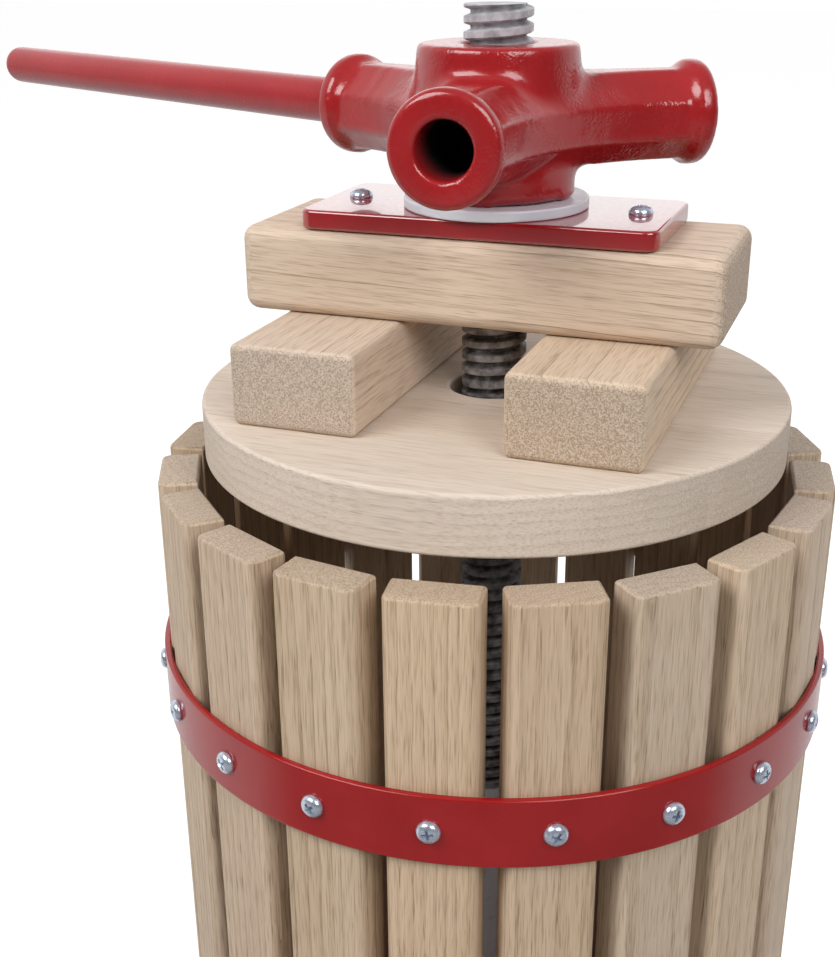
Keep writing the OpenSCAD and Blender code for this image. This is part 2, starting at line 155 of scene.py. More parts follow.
def newMaterial(name):
    material = bpy.data.materials.new(name)
    material.use_nodes = True
    tree = material.node_tree
    return material, tree, tree.nodes["Principled BSDF"]


def useGroup(tree, group, sockets):
    node = addNode(tree, "Group", node_tree=group)
    for name, value in sockets.items():
        feed(tree, node.inputs[name], value)
    return node.outputs


def bumpFrom(tree, height, strength, distance):
    return addNode(tree, "Bump", {"Height": height, "Strength": strength, "Distance": distance}).outputs[0]


# oak: rings about a far pith, fibres, and pores that are thin dashes along the grain and dots on the ends
oakWaves = {  # waves a metre across the grain, and their squeeze along it
    "rings": (70.0, 0.05), "broad": (55.0, 0.05), "hue": (5.0, 0.4), "fibre": (1300.0, 0.024),
    "hair": (1700.0, 0.042), "dash": (1450.0, 0.05), "cells": (1200.0, 0.03), "patch": (60.0, 0.12),
}
oakShares = {"ring": 0.26, "broad": 0.3, "fibre": 0.55, "fine": 0.5, "dark": 0.5, "cells": 0.55, "hair": 0.75}
oakTints = {"cutEnd": (0.62, 0.55, 0.48, 1), "plain": (1, 1, 1, 1), "grey": (1.0, 1.06, 1.18, 1)}


def buildOakGrain(waves, shares, tints):
    tree, given, out = newGroup(
        "oakGrain",
        [
            ("Place", "Vector", (0, 0, 0)), ("Tone", "Float", 1.0), ("End", "Float", 0.0),
            ("Board Width", "Float", 10.0), ("Pale", "Color", (0.6, 0.46, 0.32, 1)),
            ("Warm", "Color", (0.6, 0.44, 0.33, 1)), ("Deep", "Color", (0.4, 0.27, 0.16, 1)),
            ("Pore", "Color", (0.2, 0.12, 0.07, 1)), ("Band Depth", "Float", 0.5),
            ("Pore Depth", "Float", 0.6), ("Vein Depth", "Float", 0.0), ("Dot Depth", "Float", 1.0),
            ("Grey Sheen", "Float", 0.0),
        ],
        [("Color", "Color"), ("Roughness", "Float"), ("Height", "Float")],
    )
    parts = addNode(tree, "SeparateXYZ", {0: given["Place"]})
    board = calc(tree, "FLOOR", calc(tree, "DIVIDE", parts.outputs[0], given["Board Width"]))
    lot = addNode(tree, "TexWhiteNoise", {"W": board}, noise_dimensions="1D")
    shift = stretch(tree, lot.outputs["Color"], 0.05, 0.03, 0.6)
    place = addNode(tree, "VectorMath", {0: given["Place"], 1: shift}, operation="ADD").outputs[0]

    def squeezed(name):
        return stretch(tree, place, 1, 1, waves[name][1])

    def grain(name, detail=1.0, roughness=0.5):
        return noise(tree, squeezed(name), waves[name][0], detail, roughness)

    bands = addNode(
        tree, "TexWave",
        {
            "Vector": squeezed("rings"), "Scale": waves["rings"][0], "Distortion": 4.5, "Detail": 3.0,
            "Detail Scale": 1.1, "Detail Roughness": 0.65,
        },
        wave_type="RINGS", rings_direction="Z", wave_profile="SAW",
    ).outputs["Fac"]
    early = remap(tree, bands, 0.35, 0.95, soft=True)
    broad = remap(tree, grain("broad", 3.0), 0.3, 0.7)
    fibre = grain("fibre", 4.0, 0.72)
    hair = grain("hair")
    # fine pores everywhere, dark ones in a line at the end of each ring, and dots on a cut end
    end = given["End"]
    side = calc(tree, "SUBTRACT", 1.0, end)
    fine = remap(tree, plus(tree, hair, times(tree, early, 0.035)), 0.50, 0.70)
    gate = plus(tree, 0.73, times(tree, remap(tree, bands, 0.7, 0.97), -0.15))
    dark = remap(tree, calc(tree, "SUBTRACT", grain("dash"), gate), -0.03, 0.06)
    cells = addNode(tree, "TexVoronoi", {"Vector": squeezed("cells"), "Scale": waves["cells"][0]})
    dots = times(tree, remap(tree, cells.outputs["Distance"], 0.6, 0.2), shares["cells"])
    dots = plus(tree, dots, remap(tree, hair, 0.38, 0.62, 0.0, shares["hair"]))
    dots = times(tree, dots, given["Dot Depth"])
    pores = plus(tree, times(tree, fine, shares["fine"]), times(tree, dark, shares["dark"]))
    pores = plus(tree, times(tree, pores, side), times(tree, dots, end), clamp=True)
    # veins are thin dark lines along the rings, which come and go
    vein = times(tree, remap(tree, bands, 0.86, 0.98), remap(tree, grain("patch"), 0.5, 0.6))
    vein = times(tree, times(tree, vein, given["Vein Depth"]), side)
    figure = plus(tree, times(tree, early, shares["ring"]), times(tree, broad, shares["broad"]))
    figure = plus(tree, figure, times(tree, remap(tree, fibre, 0.3, 0.7), shares["fibre"]))
    figure = times(tree, figure, given["Band Depth"], clamp=True)
    colour = blendColour(tree, remap(tree, grain("hue"), 0.35, 0.65), given["Pale"], given["Warm"])
    colour = blendColour(tree, figure, colour, given["Deep"])
    colour = blendColour(tree, times(tree, end, 0.25), colour, tints["cutEnd"])
    colour = blendColour(tree, times(tree, pores, given["Pore Depth"]), colour, given["Pore"])
    colour = blendColour(tree, vein, colour, given["Pore"])
    # the bluish grey blended in here is partly the board's own tone, partly a painted sheen
    tint = blendColour(tree, given["Grey Sheen"], tints["plain"], tints["grey"])
    colour = blendColour(tree, 1.0, colour, tint, "MULTIPLY")
    shade = calc(tree, "SUBTRACT", given["Tone"], times(tree, end, 0.06))
    shade = plus(tree, shade, remap(tree, lot.outputs["Value"], 0, 1, -0.035, 0.035))
    grey = addNode(tree, "CombineColor", {0: shade, 1: shade, 2: shade})
    feed(tree, out["Color"], blendColour(tree, 1.0, colour, grey.outputs[0], "MULTIPLY"))
    feed(tree, out["Roughness"], plus(tree, 0.55, times(tree, pores, 0.25)))
    feed(tree, out["Height"], calc(tree, "SUBTRACT", times(tree, fibre, 0.5), pores))
    return tree


# paint: slow dips, fine orange peel, and the grit of a casting under it
def buildPaintSkin():
    tree, given, out = newGroup(
        "paintSkin",
        [
            ("Place", "Vector", (0, 0, 0)), ("Grit", "Float", 0.0), ("Shine", "Float", 0.2),
            ("Paint", "Color", (0.4, 0.02, 0.02, 1)), ("Thin", "Color", (0.5, 0.05, 0.05, 1)),
        ],
        [("Color", "Color"), ("Roughness", "Float"), ("Height", "Float")],
    )
    place = given["Place"]
    slow = noise(tree, place, 38.0, 2.0)
    peel = noise(tree, place, 420.0, 2.0)
    grit = noise(tree, place, 480.0, 3.0, 0.6)
    lumps = noise(tree, place, 110.0, 1.0)
    pits = addNode(tree, "TexVoronoi", {"Vector": place, "Scale": 800.0}, feature="SMOOTH_F1")
    patch = remap(tree, noise(tree, place, 62.0, 2.0), 0.48, 0.66, 0.04, 0.6)
    pitted = plus(tree, times(tree, remap(tree, pits.outputs["Distance"], 0.12, 0.5), 0.8), grit)
    rough = plus(tree, times(tree, pitted, patch), times(tree, lumps, 0.12))
    mask = remap(tree, plus(tree, times(tree, slow, 0.8), times(tree, grit, 0.2)), 0.36, 0.66)
    feed(tree, out["Color"], blendColour(tree, mask, given["Paint"], given["Thin"]))
    sheen = plus(tree, given["Shine"], remap(tree, grit, 0.3, 0.7, -0.04, 0.07))
    feed(tree, out["Roughness"], sheen)
    height = plus(tree, times(tree, rough, given["Grit"]), times(tree, peel, 0.08))
    feed(tree, out["Height"], plus(tree, height, times(tree, slow, 0.2)))
    return tree


# bare and plated steel: cloudy tone, fine rub marks
def buildSteelCloud():
    tree, given, out = newGroup(
        "steelCloud",
        [
            ("Place", "Vector", (0, 0, 0)), ("Bright", "Color", (0.6, 0.6, 0.6, 1)),
            ("Dull", "Color", (0.4, 0.4, 0.4, 1)), ("Worn", "Float", 0.5), ("Shine", "Float", 0.3),
            ("Grain", "Float", 300.0),
        ],
        [("Color", "Color"), ("Roughness", "Float"), ("Height", "Float")],
    )
    cloud = noise(tree, given["Place"], 170.0, 3.0, 0.6)
    rub = noise(tree, given["Place"], given["Grain"], 3.0, 0.7)
    mix = plus(tree, remap(tree, cloud, 0.3, 0.7, -0.25, 0.25), given["Worn"], clamp=True)
    feed(tree, out["Color"], blendColour(tree, mix, given["Dull"], given["Bright"]))
    feed(tree, out["Roughness"], plus(tree, given["Shine"], remap(tree, rub, 0.3, 0.7, -0.08, 0.12)))
    feed(tree, out["Height"], plus(tree, rub, times(tree, cloud, 0.5)))
    return tree


oakGrain = buildOakGrain(oakWaves, oakShares, oakTints)
paintSkin = buildPaintSkin()
steelCloud = buildSteelCloud()
relief = {"oak": 0.25 * mm, "paint": 0.6 * mm, "steel": 0.2 * mm, "nylon": 0.2 * mm}
# near-black of the sockets: unpainted iron, and painted shade in the recess
bareIronAndShade = {"colour": (0.022, 0.020, 0.021, 1), "rough": 0.65}
oakMirror = 0.25
lacquerIndex = 1.7


def makeOak(name, look):
    material, tree, skin = newMaterial(name)
    board = addNode(tree, "Attribute", attribute_name="boardPlace")
    tone = addNode(tree, "Attribute", attribute_name="boardTone")
    end = addNode(tree, "Attribute", attribute_name="endGrain")
    grey = addNode(tree, "Attribute", attribute_name="boardGreySheen")
    grain = useGroup(tree, oakGrain, {
        "Place": board.outputs["Vector"], "Tone": tone.outputs["Fac"], "End": end.outputs["Fac"],
        "Board Width": look["boardWidth"], "Pale": look["pale"], "Warm": look["warm"], "Deep": look["deep"],
        "Pore": look["pore"], "Band Depth": look["bandDepth"], "Pore Depth": look["poreDepth"],
        "Vein Depth": look["veinDepth"], "Dot Depth": look["dotDepth"], "Grey Sheen": grey.outputs["Fac"],
    })
    feed(tree, skin.inputs["Base Color"], grain["Color"])
    feed(tree, skin.inputs["Roughness"], grain["Roughness"])
    feed(tree, skin.inputs["Normal"], bumpFrom(tree, grain["Height"], look["bump"], relief["oak"]))
    skin.inputs["Specular IOR Level"].default_value = oakMirror
    return material


# where the named attribute is set, the paint gives way to near-black: unpainted iron in the sockets, with
# painted shade deepening into them
def makePaint(name, look, darkIronAndShade=None):
    material, tree, skin = newMaterial(name)
    place = addNode(tree, "TexCoord").outputs["Object"]
    coat = useGroup(tree, paintSkin, {
        "Place": place, "Grit": look["grit"], "Shine": look["shine"],
        "Paint": look["paint"], "Thin": look["thin"],
    })
    colour, rough, gloss = coat["Color"], coat["Roughness"], look["coat"]
    if darkIronAndShade:
        iron = addNode(tree, "Attribute", attribute_name=darkIronAndShade).outputs["Fac"]
        colour = blendColour(tree, iron, colour, bareIronAndShade["colour"])
        rough = calc(tree, "MAXIMUM", rough, times(tree, iron, bareIronAndShade["rough"]))
        gloss = remap(tree, iron, 0, 1, look["coat"], 0)
    feed(tree, skin.inputs["Base Color"], colour)
    feed(tree, skin.inputs["Roughness"], rough)
    feed(tree, skin.inputs["Normal"], bumpFrom(tree, coat["Height"], look["bump"], relief["paint"]))
    feed(tree, skin.inputs["Coat Weight"], gloss)
    skin.inputs["Coat Roughness"].default_value = look["coatRough"]
    skin.inputs["Coat IOR"].default_value = lacquerIndex
    skin.inputs["Specular IOR Level"].default_value = look["mirror"]
    return material


def makeSteel(name, look, worn=None):
    material, tree, skin = newMaterial(name)
    place = addNode(tree, "TexCoord").outputs["Object"]
    cloud = useGroup(tree, steelCloud, {
        "Place": place, "Bright": look["bright"], "Dull": look["dull"],
        "Shine": look["shine"], "Grain": look["grain"],
    })
    worn = look["worn"] if worn is None else worn(tree, place)
    feed(tree, cloud[0].node.inputs["Worn"], worn)
    feed(tree, skin.inputs["Base Color"], cloud["Color"])
    feed(tree, skin.inputs["Roughness"], cloud["Roughness"])
    feed(tree, skin.inputs["Normal"], bumpFrom(tree, cloud["Height"], look["bump"], relief["steel"]))
    skin.inputs["Metallic"].default_value = look["metal"]
    return material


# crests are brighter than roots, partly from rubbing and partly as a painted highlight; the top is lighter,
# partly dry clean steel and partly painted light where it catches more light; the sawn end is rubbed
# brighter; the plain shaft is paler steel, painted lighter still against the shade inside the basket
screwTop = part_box("spindle")[1].z
wear = {
    "root": 11.6 * mm, "rootRub": 0.04, "crest": 14.0 * mm, "crestRubAndHighlight": 0.25,
    "topLightFrom": screwTop - 22.5 * mm, "topLightTo": screwTop - 12.5 * mm, "topPaintedLight": 0.38,
    "sawnFrom": screwTop - 0.7 * mm, "sawnTo": screwTop - 0.1 * mm, "sawnRub": 0.15,
    "shaftLightFrom": 354 * mm, "shaftLightTo": 350 * mm, "shaftPaintedLight": 0.9,
}


def threadWearAndPaintedLight(tree, place):
    flat = stretch(tree, place, 1, 1, 0)
    reach = addNode(tree, "VectorMath", {0: flat}, operation="LENGTH").outputs["Value"]
    high = addNode(tree, "SeparateXYZ", {0: place}).outputs[2]
    # crests get a painted highlight beside their rub wear, the top is painted lighter where light falls on
    # it, and the plain shaft is painted lighter against the shade inside the basket
    crest = remap(tree, reach, wear["root"], wear["crest"], wear["rootRub"], wear["crestRubAndHighlight"])
    paintedTopLight = remap(tree, high, wear["topLightFrom"], wear["topLightTo"], 0.0, wear["topPaintedLight"])
    sawn = remap(tree, high, wear["sawnFrom"], wear["sawnTo"], 0.0, wear["sawnRub"])
    plain = remap(tree, high, wear["shaftLightFrom"], wear["shaftLightTo"], 0.0, wear["shaftPaintedLight"])
    return plus(tree, plus(tree, crest, sawn), plus(tree, paintedTopLight, plain))


undivided = 10.0  # wider than any piece, so it is one board
staveOak = makeOak("staveOak", {
    "boardWidth": undivided, "pale": (0.73, 0.57, 0.40, 1), "warm": (0.72, 0.54, 0.385, 1),
    "deep": (0.45, 0.31, 0.185, 1), "pore": (0.22, 0.13, 0.065, 1),
    "bandDepth": 0.72, "poreDepth": 0.75, "veinDepth": 0.35, "dotDepth": 0.6, "bump": 0.3,
})
pressOak = makeOak("pressOak", {
    "boardWidth": undivided, "pale": (0.75, 0.60, 0.45, 1), "warm": (0.74, 0.57, 0.43, 1),
    "deep": (0.53, 0.39, 0.27, 1), "pore": (0.24, 0.15, 0.09, 1),
    "bandDepth": 0.55, "poreDepth": 0.65, "veinDepth": 0.6, "dotDepth": 1.0, "bump": 0.3,
})
greyOak = makeOak("greyOak", {
    "boardWidth": undivided, "pale": (0.73, 0.60, 0.48, 1), "warm": (0.72, 0.57, 0.45, 1),
    "deep": (0.53, 0.41, 0.31, 1), "pore": (0.25, 0.17, 0.12, 1),
    "bandDepth": 0.55, "poreDepth": 0.65, "veinDepth": 0.4, "dotDepth": 0.95, "bump": 0.3,
})
discOak = makeOak("discOak", {
    "boardWidth": 0.062, "pale": (0.77, 0.67, 0.57, 1), "warm": (0.76, 0.65, 0.55, 1),
    "deep": (0.57, 0.46, 0.37, 1), "pore": (0.38, 0.27, 0.19, 1),
    "bandDepth": 0.75, "poreDepth": 0.65, "veinDepth": 0.12, "dotDepth": 0.8, "bump": 0.2,
})
castRed = makePaint("castRed", {
    "paint": (0.33, 0.013, 0.015, 1), "thin": (0.39, 0.017, 0.020, 1), "grit": 0.7, "bump": 0.5,
    "shine": 0.17, "mirror": 0.65, "coat": 0.0, "coatRough": 0.1,
}, "bareIronAndShade")
plateRed = makePaint("plateRed", {
    "paint": (0.31, 0.006, 0.009, 1), "thin": (0.35, 0.009, 0.012, 1), "grit": 0.0, "bump": 0.06,
    "shine": 0.2, "mirror": 0.5, "coat": 1.0, "coatRough": 0.03,
})
hoopRed = makePaint("hoopRed", {
    "paint": (0.30, 0.008, 0.009, 1), "thin": (0.34, 0.012, 0.013, 1), "grit": 0.03, "bump": 0.06,
    "shine": 0.14, "mirror": 0.45, "coat": 0.0, "coatRough": 0.14,
})
barRed = makePaint("barRed", {
    "paint": (0.36, 0.012, 0.016, 1), "thin": (0.40, 0.018, 0.024, 1), "grit": 0.06, "bump": 0.12,
    "shine": 0.22, "mirror": 0.44, "coat": 0.0, "coatRough": 0.3,
})
zincSteel = makeSteel("zincSteel", {
    "bright": (0.70, 0.76, 0.86, 1), "dull": (0.46, 0.52, 0.64, 1), "worn": 0.55,
    "shine": 0.2, "grain": 900.0, "bump": 0.1, "metal": 0.7,
})
spindleSteel = makeSteel("spindleSteel", {
    "bright": (0.79, 0.79, 0.84, 1), "dull": (0.075, 0.068, 0.063, 1),
    "shine": 0.5, "grain": 700.0, "bump": 0.25, "metal": 0.45,
}, threadWearAndPaintedLight)
collarSteel = makeSteel("collarSteel", {
    "bright": (0.24, 0.235, 0.235, 1), "dull": (0.11, 0.105, 0.10, 1), "worn": 0.45,
    "shine": 0.42, "grain": 500.0, "bump": 0.2, "metal": 0.9,
})


def makeNylon(name):
    material, tree, skin = newMaterial(name)
    place = addNode(tree, "TexCoord").outputs["Object"]
    cloud = noise(tree, place, 60.0, 2.0)
    swirl = noise(tree, stretch(tree, place, 1, 1, 6), 260.0, 2.0)
    shade = blendColour(tree, cloud, (0.74, 0.75, 0.80, 1), (0.66, 0.67, 0.73, 1))
    feed(tree, skin.inputs["Base Color"], shade)
    feed(tree, skin.inputs["Roughness"], remap(tree, swirl, 0.3, 0.7, 0.28, 0.4))
    feed(tree, skin.inputs["Normal"], bumpFrom(tree, swirl, 0.08, relief["nylon"]))
    skin.inputs["Subsurface Weight"].default_value = 0.25
    skin.inputs["Subsurface Radius"].default_value = (0.004, 0.004, 0.004)
    return material


whiteNylon = makeNylon("whiteNylon")
print("materials made:", len(bpy.data.materials))


# mesh helpers
foldAngle = 0.6
drillOver = 5 * mm
endZone = 1 * mm  # an edge this near to a piece's end belongs to it
touching = 0.1 * mm
weld = 0.002 * mm


def spun(points, steps, closed=False):
    bm = bmesh.new()
    verts = [bm.verts.new((r, 0, z)) for r, z in points]
    edges = [bm.edges.new(pair) for pair in zip(verts, verts[1:])]
    if closed:
        edges.append(bm.edges.new((verts[-1], verts[0])))
    bmesh.ops.spin(
        bm, geom=verts + edges, cent=(0, 0, 0), axis=(0, 0, 1), angle=math.tau, steps=steps, use_merge=True)
    bmesh.ops.remove_doubles(bm, verts=bm.verts, dist=1e-6)
    bmesh.ops.recalc_face_normals(bm, faces=bm.faces)
    return bm


def ring(inner, outer, low, high, steps):
    return spun([(inner, low), (outer, low), (outer, high), (inner, high)], steps, closed=True)


def barStock(size, middle):
    bm = bmesh.new()
    bmesh.ops.create_cube(bm, size=1, matrix=Matrix.Translation(middle) @ Matrix.Diagonal((*size, 1)))
    return bm


def ease(bm, width, segments, wanted=None):
    folds = [e for e in bm.edges if len(e.link_faces) == 2 and e.calc_face_angle(0) > foldAngle]
    edges = [e for e in folds if wanted is None or wanted(e)]
    bmesh.ops.bevel(
        bm, geom=edges, offset=width, offset_type="OFFSET", affect="EDGES", segments=segments, profile=0.5,
        material=-1, clamp_overlap=True)


def middleOf(edge):
    return (edge.verts[0].co + edge.verts[1].co) / 2


def isUpright(edge):
    a, b = (v.co for v in edge.verts)
    return abs(a.x - b.x) < 1e-6 and abs(a.y - b.y) < 1e-6


def moved(bm, matrix):
    bmesh.ops.transform(bm, matrix=matrix, verts=bm.verts)
    return bm


def extruded(bm, faces, by):
    wall = bmesh.ops.extrude_face_region(bm, geom=faces)
    verts = [v for v in wall["geom"] if isinstance(v, bmesh.types.BMVert)]
    bmesh.ops.translate(bm, vec=by, verts=verts)
    bmesh.ops.recalc_face_normals(bm, faces=bm.faces)
    return bm


def asMesh(name, bm):
    mesh = bpy.data.meshes.new(name)
    bm.to_mesh(mesh)
    bm.free()
    return mesh


def throwaway(bm):
    thing = bpy.data.objects.new("throwaway", asMesh("throwaway", bm))
    scene.collection.objects.link(thing)
    return thing


def evaluated(thing, others=()):
    mesh = bpy.data.meshes.new_from_object(thing.evaluated_get(bpy.context.evaluated_depsgraph_get()))
    bm = bmesh.new()
    bm.from_mesh(mesh)
    bpy.data.meshes.remove(mesh)
    for used in (thing, *others):
        old = used.data
        bpy.data.objects.remove(used)
        bpy.data.meshes.remove(old)
    return bm


def addBoolean(body, operation, tool):
    step = body.modifiers.new("carve", "BOOLEAN")
    step.operation = operation
    step.solver = "EXACT"
    step.object = tool


# the cutters are taken away, or added where join is set, and slivers left by that are cleaned up
def carve(bm, cutters, join=False):
    body = throwaway(bm)
    tools = [throwaway(c) for c in cutters]
    for tool in tools:
        addBoolean(body, "UNION" if join else "DIFFERENCE", tool)
    bm = evaluated(body, tools)
    bmesh.ops.remove_doubles(bm, verts=bm.verts, dist=weld)
    bmesh.ops.dissolve_degenerate(bm, dist=weld, edges=bm.edges)
    bmesh.ops.recalc_face_normals(bm, faces=bm.faces)
    return bm


def drillRod(radius, low, high, x=0.0, y=0.0, steps=48):
    bm = bmesh.new()
    place = Matrix.Translation((x, y, (low + high) / 2))
    bmesh.ops.create_cone(
        bm, cap_ends=True, segments=steps, radius1=radius, radius2=radius, depth=high - low, matrix=place)
    return bm


# rod that goes right through a piece
def drillThrough(radius, low, high, x=0.0, y=0.0, steps=48):
    return drillRod(radius, low - drillOver, high + drillOver, x, y, steps)


# grain runs along the named axis; pith puts the rings' centre beside the board; the grey amount is partly the
# board's own tone, partly a painted sheen
def grainOf(bm, axis, pith, tone, slope=0.0, grey=0.0):
    order = {"X": (1, 2, 0), "Y": (2, 0, 1), "Z": (0, 1, 2)}[axis]
    place = bm.verts.layers.float_vector.new("boardPlace")
    toneLayer = bm.verts.layers.float.new("boardTone")
    greySheenLayer = bm.verts.layers.float.new("boardGreySheen")
    endLayer = bm.faces.layers.float.new("endGrain")
    for v in bm.verts:
        local = Vector([v.co[i] for i in order])
        local.y += local.z * slope
        v[place] = local + pith
        v[toneLayer] = tone
        v[greySheenLayer] = grey
    bm.normal_update()
    for f in bm.faces:  # fades in where the face turns across the grain
        f[endLayer] = min(max(abs(f.normal[order[2]]) - 0.6, 0.0) / 0.35, 1.0)


pithReach = (0.05, 0.11)
pithAlong = (-2, 2)


def pithAt():
    side = chance.uniform(0, math.tau)
    reach = chance.uniform(*pithReach)
    return Vector((math.cos(side) * reach, math.sin(side) * reach, chance.uniform(*pithAlong)))


def finishPiece(name, bm, body, material, nodes, sharp=40, weighted=True):
    mesh = asMesh(name, bm)
    mesh.materials.append(material)
    mesh.shade_smooth()
    mesh.set_sharp_from_angle(angle=math.radians(sharp))
    piece = bpy.data.objects.new(name, mesh)
    scene.collection.objects.link(piece)
    if weighted:
        even = piece.modifiers.new("evenNormals", "WEIGHTED_NORMAL")
        even.keep_sharp = True
    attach(piece, body)
    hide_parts(*nodes)
    return piece


def soften(piece, width):
    edge = piece.modifiers.new("softEdges", "BEVEL")
    edge.width = width
    edge.segments = 2
    edge.limit_method = "ANGLE"
    edge.angle_limit = math.radians(40)
    edge.harden_normals = True


# basket
stave = {
    "count": 20, "inside": 130 * mm, "thick": 17.5 * mm, "wide": 36 * mm,
    "outerEdge": 4 * mm, "topEdge": 1.5 * mm, "eased": 0.9 * mm,
    "sawnShort": 1 * mm, "tone": (0.93, 1.05), "turned": (-0.5, 0.5), "greySheenElse": 0.2,
    # boards turned greyer and bluer by number: partly their own tone, partly a painted sheen on those that
    # catch the light
    "grey": {
        12: 0.7, 13: 0.6, 14: 0.6, 15: 0.3, 16: 0.0, 17: 0.2, 18: 0.9, 19: 0.5, 20: 0.9, 1: 0.9, 2: 0.8,
    },
}


def makeStave(number, s):
    node = f"stave_{number:02d}"
    low, high = (corner.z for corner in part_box(node))
    high -= chance.uniform(0, s["sawnShort"])  # sawn by hand, none quite alike
    middle = Vector((s["inside"] + s["thick"] / 2, 0, (low + high) / 2))
    bm = barStock((s["thick"], s["wide"], high - low), middle)
    ease(bm, s["outerEdge"], 5, lambda e: isUpright(e) and middleOf(e).x > middle.x)
    ease(bm, s["topEdge"], 2, lambda e: not isUpright(e) and middleOf(e).z > high - endZone)
    ease(bm, s["eased"], 2, lambda e: middleOf(e).x < middle.x or middleOf(e).z < low + endZone)
    moved(bm, Matrix.Translation(-middle))
    grey = s["grey"].get(number, s["greySheenElse"])
    grainOf(bm, "Z", pithAt(), chance.uniform(*s["tone"]), grey=grey)
    moved(bm, Matrix.Rotation(math.radians(chance.uniform(*s["turned"])), 4, "Z"))
    moved(bm, Matrix.Rotation((number - 0.5) * math.tau / s["count"], 4, "Z") @ Matrix.Translation(middle))
    finishPiece(f"staveBoard{number:02d}", bm, "basket", staveOak, [node])


for number in range(1, stave["count"] + 1):
    makeStave(number, stave)
print("staves made:", stave["count"])

hoop = {"thick": 3 * mm, "eased": 0.9 * mm, "steps": 180}


def makeHoop(name, node, h):
    low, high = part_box(node)
    outer = high.x
    bm = ring(outer - h["thick"], outer, low.z, high.z, h["steps"])
    ease(bm, h["eased"], 3)
    finishPiece(name, bm, "basket", hoopRed, [node])
    return outer, (low.z + high.z) / 2


screw = {
    "headRadius": 4.8 * mm, "headHigh": 3.2 * mm, "recessLong": 6.4 * mm, "recessWide": 1.6 * mm,
    "recessDeep": 2.4 * mm, "recessTaper": 0.55, "shankRadius": 2 * mm, "shankLong": 13 * mm, "point": 2 * mm,
}


# pan head with a cross recess, standing on z = 0 with its shank down
def makeScrewMesh(s):
    r, h = s["headRadius"], s["headHigh"]
    shank, tip = s["shankRadius"], -s["shankLong"]
    head = spun([
        (0, tip), (shank * 0.6, tip), (shank, tip + s["point"]), (shank, 0), (r * 0.96, 0), (r, h * 0.12),
        (r * 0.985, h * 0.34), (r * 0.9, h * 0.62), (r * 0.74, h * 0.83), (r * 0.5, h * 0.95),
        (r * 0.24, h * 0.995), (0, h),
    ], steps=28)
    slots = []
    for size in ((s["recessLong"], s["recessWide"]), (s["recessWide"], s["recessLong"])):
        slot = barStock((*size, s["recessDeep"] * 2), (0, 0, h))
        for v in slot.verts:  # narrower at the bottom
            if v.co.z < h:
                v.co.x *= s["recessTaper"]
                v.co.y *= s["recessTaper"]
        slots.append(slot)
    return asMesh("screwPattern", carve(head, slots))


def addCopies(pattern, places):
    bm = bmesh.new()
    for place in places:
        known = len(bm.verts)
        bm.from_mesh(pattern)
        bm.verts.ensure_lookup_table()
        bmesh.ops.transform(bm, matrix=place, verts=bm.verts[known:])
    return bm


screwPattern = makeScrewMesh(screw)


def makeHoopScrews(name, node, radius, height):
    places = []
    for number in range(stave["count"]):
        spin = Matrix.Rotation(chance.uniform(0, math.tau), 4, "Z")
        outward = Matrix.Translation((radius, 0, height)) @ Matrix.Rotation(math.pi / 2, 4, "Y")
        places.append(Matrix.Rotation((number + 0.5) * math.tau / stave["count"], 4, "Z") @ outward @ spin)
    screws = addCopies(screwPattern, places)
    finishPiece(name, screws, "basket", zincSteel, [node], sharp=35, weighted=False)


for level in ("upper", "lower"):
    radius, height = makeHoop(f"{level}HoopBand", f"hoop_{level}", hoop)
    makeHoopScrews(f"{level}HoopScrews", f"hoop_screws_{level}", radius, height)
print("hoops and their screws made")

# press stack
pressWood = {
    "discEdge": 1.7 * mm, "discHole": 19 * mm, "discPith": Vector((0.07, 0.16, 0.4)), "blockEdge": 3 * mm,
    "beamEdge": 6 * mm, "beamHole": 16 * mm, "beamPith": Vector((0.06, -0.47, 1.3)), "beamSlope": 0.035,
    # the beam's grey is partly its own tone, partly a painted sheen
    "beamGreySheen": 0.3,
    "leftPith": Vector((-0.56, -0.01, 0.2)), "leftTone": 0.99,
    "rightPith": Vector((-0.43, 0.04, 1.7)), "rightTone": 0.96,
}


def makeDisc(w):
    low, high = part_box("press_disc")
    bm = ring(w["discHole"], high.x, low.z, high.z, steps=160)
    ease(bm, w["discEdge"], 4)
    grainOf(bm, "X", w["discPith"], 1.0)
    finishPiece("pressDiscBoard", bm, "press_stack", discOak, ["press_disc"])


def makeBlock(side, w, oak):
    node = f"block_{side}"
    low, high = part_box(node)
    bm = barStock(high - low, (low + high) / 2)
    ease(bm, w["blockEdge"], 4)
    grainOf(bm, "Y", w[f"{side}Pith"], w[f"{side}Tone"])
    finishPiece(f"{side}Block", bm, "press_stack", oak, [node])


def makeBeam(w):
    low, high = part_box("cross_beam")
    bm = barStock(high - low, (low + high) / 2)
    ease(bm, w["beamEdge"], 6)
    bm = carve(bm, [drillThrough(w["beamHole"], low.z, high.z)])
    grainOf(bm, "X", w["beamPith"], 1.0, w["beamSlope"], w["beamGreySheen"])
    finishPiece("crossBeam", bm, "press_stack", pressOak, ["cross_beam"])


makeDisc(pressWood)
makeBlock("left", pressWood, greyOak)
makeBlock("right", pressWood, pressOak)
makeBeam(pressWood)

plate = {
    "corner": 6 * mm, "eased": 1.4 * mm, "hole": 15.5 * mm, "screwAt": 61 * mm, "screwSize": 1.05,
}


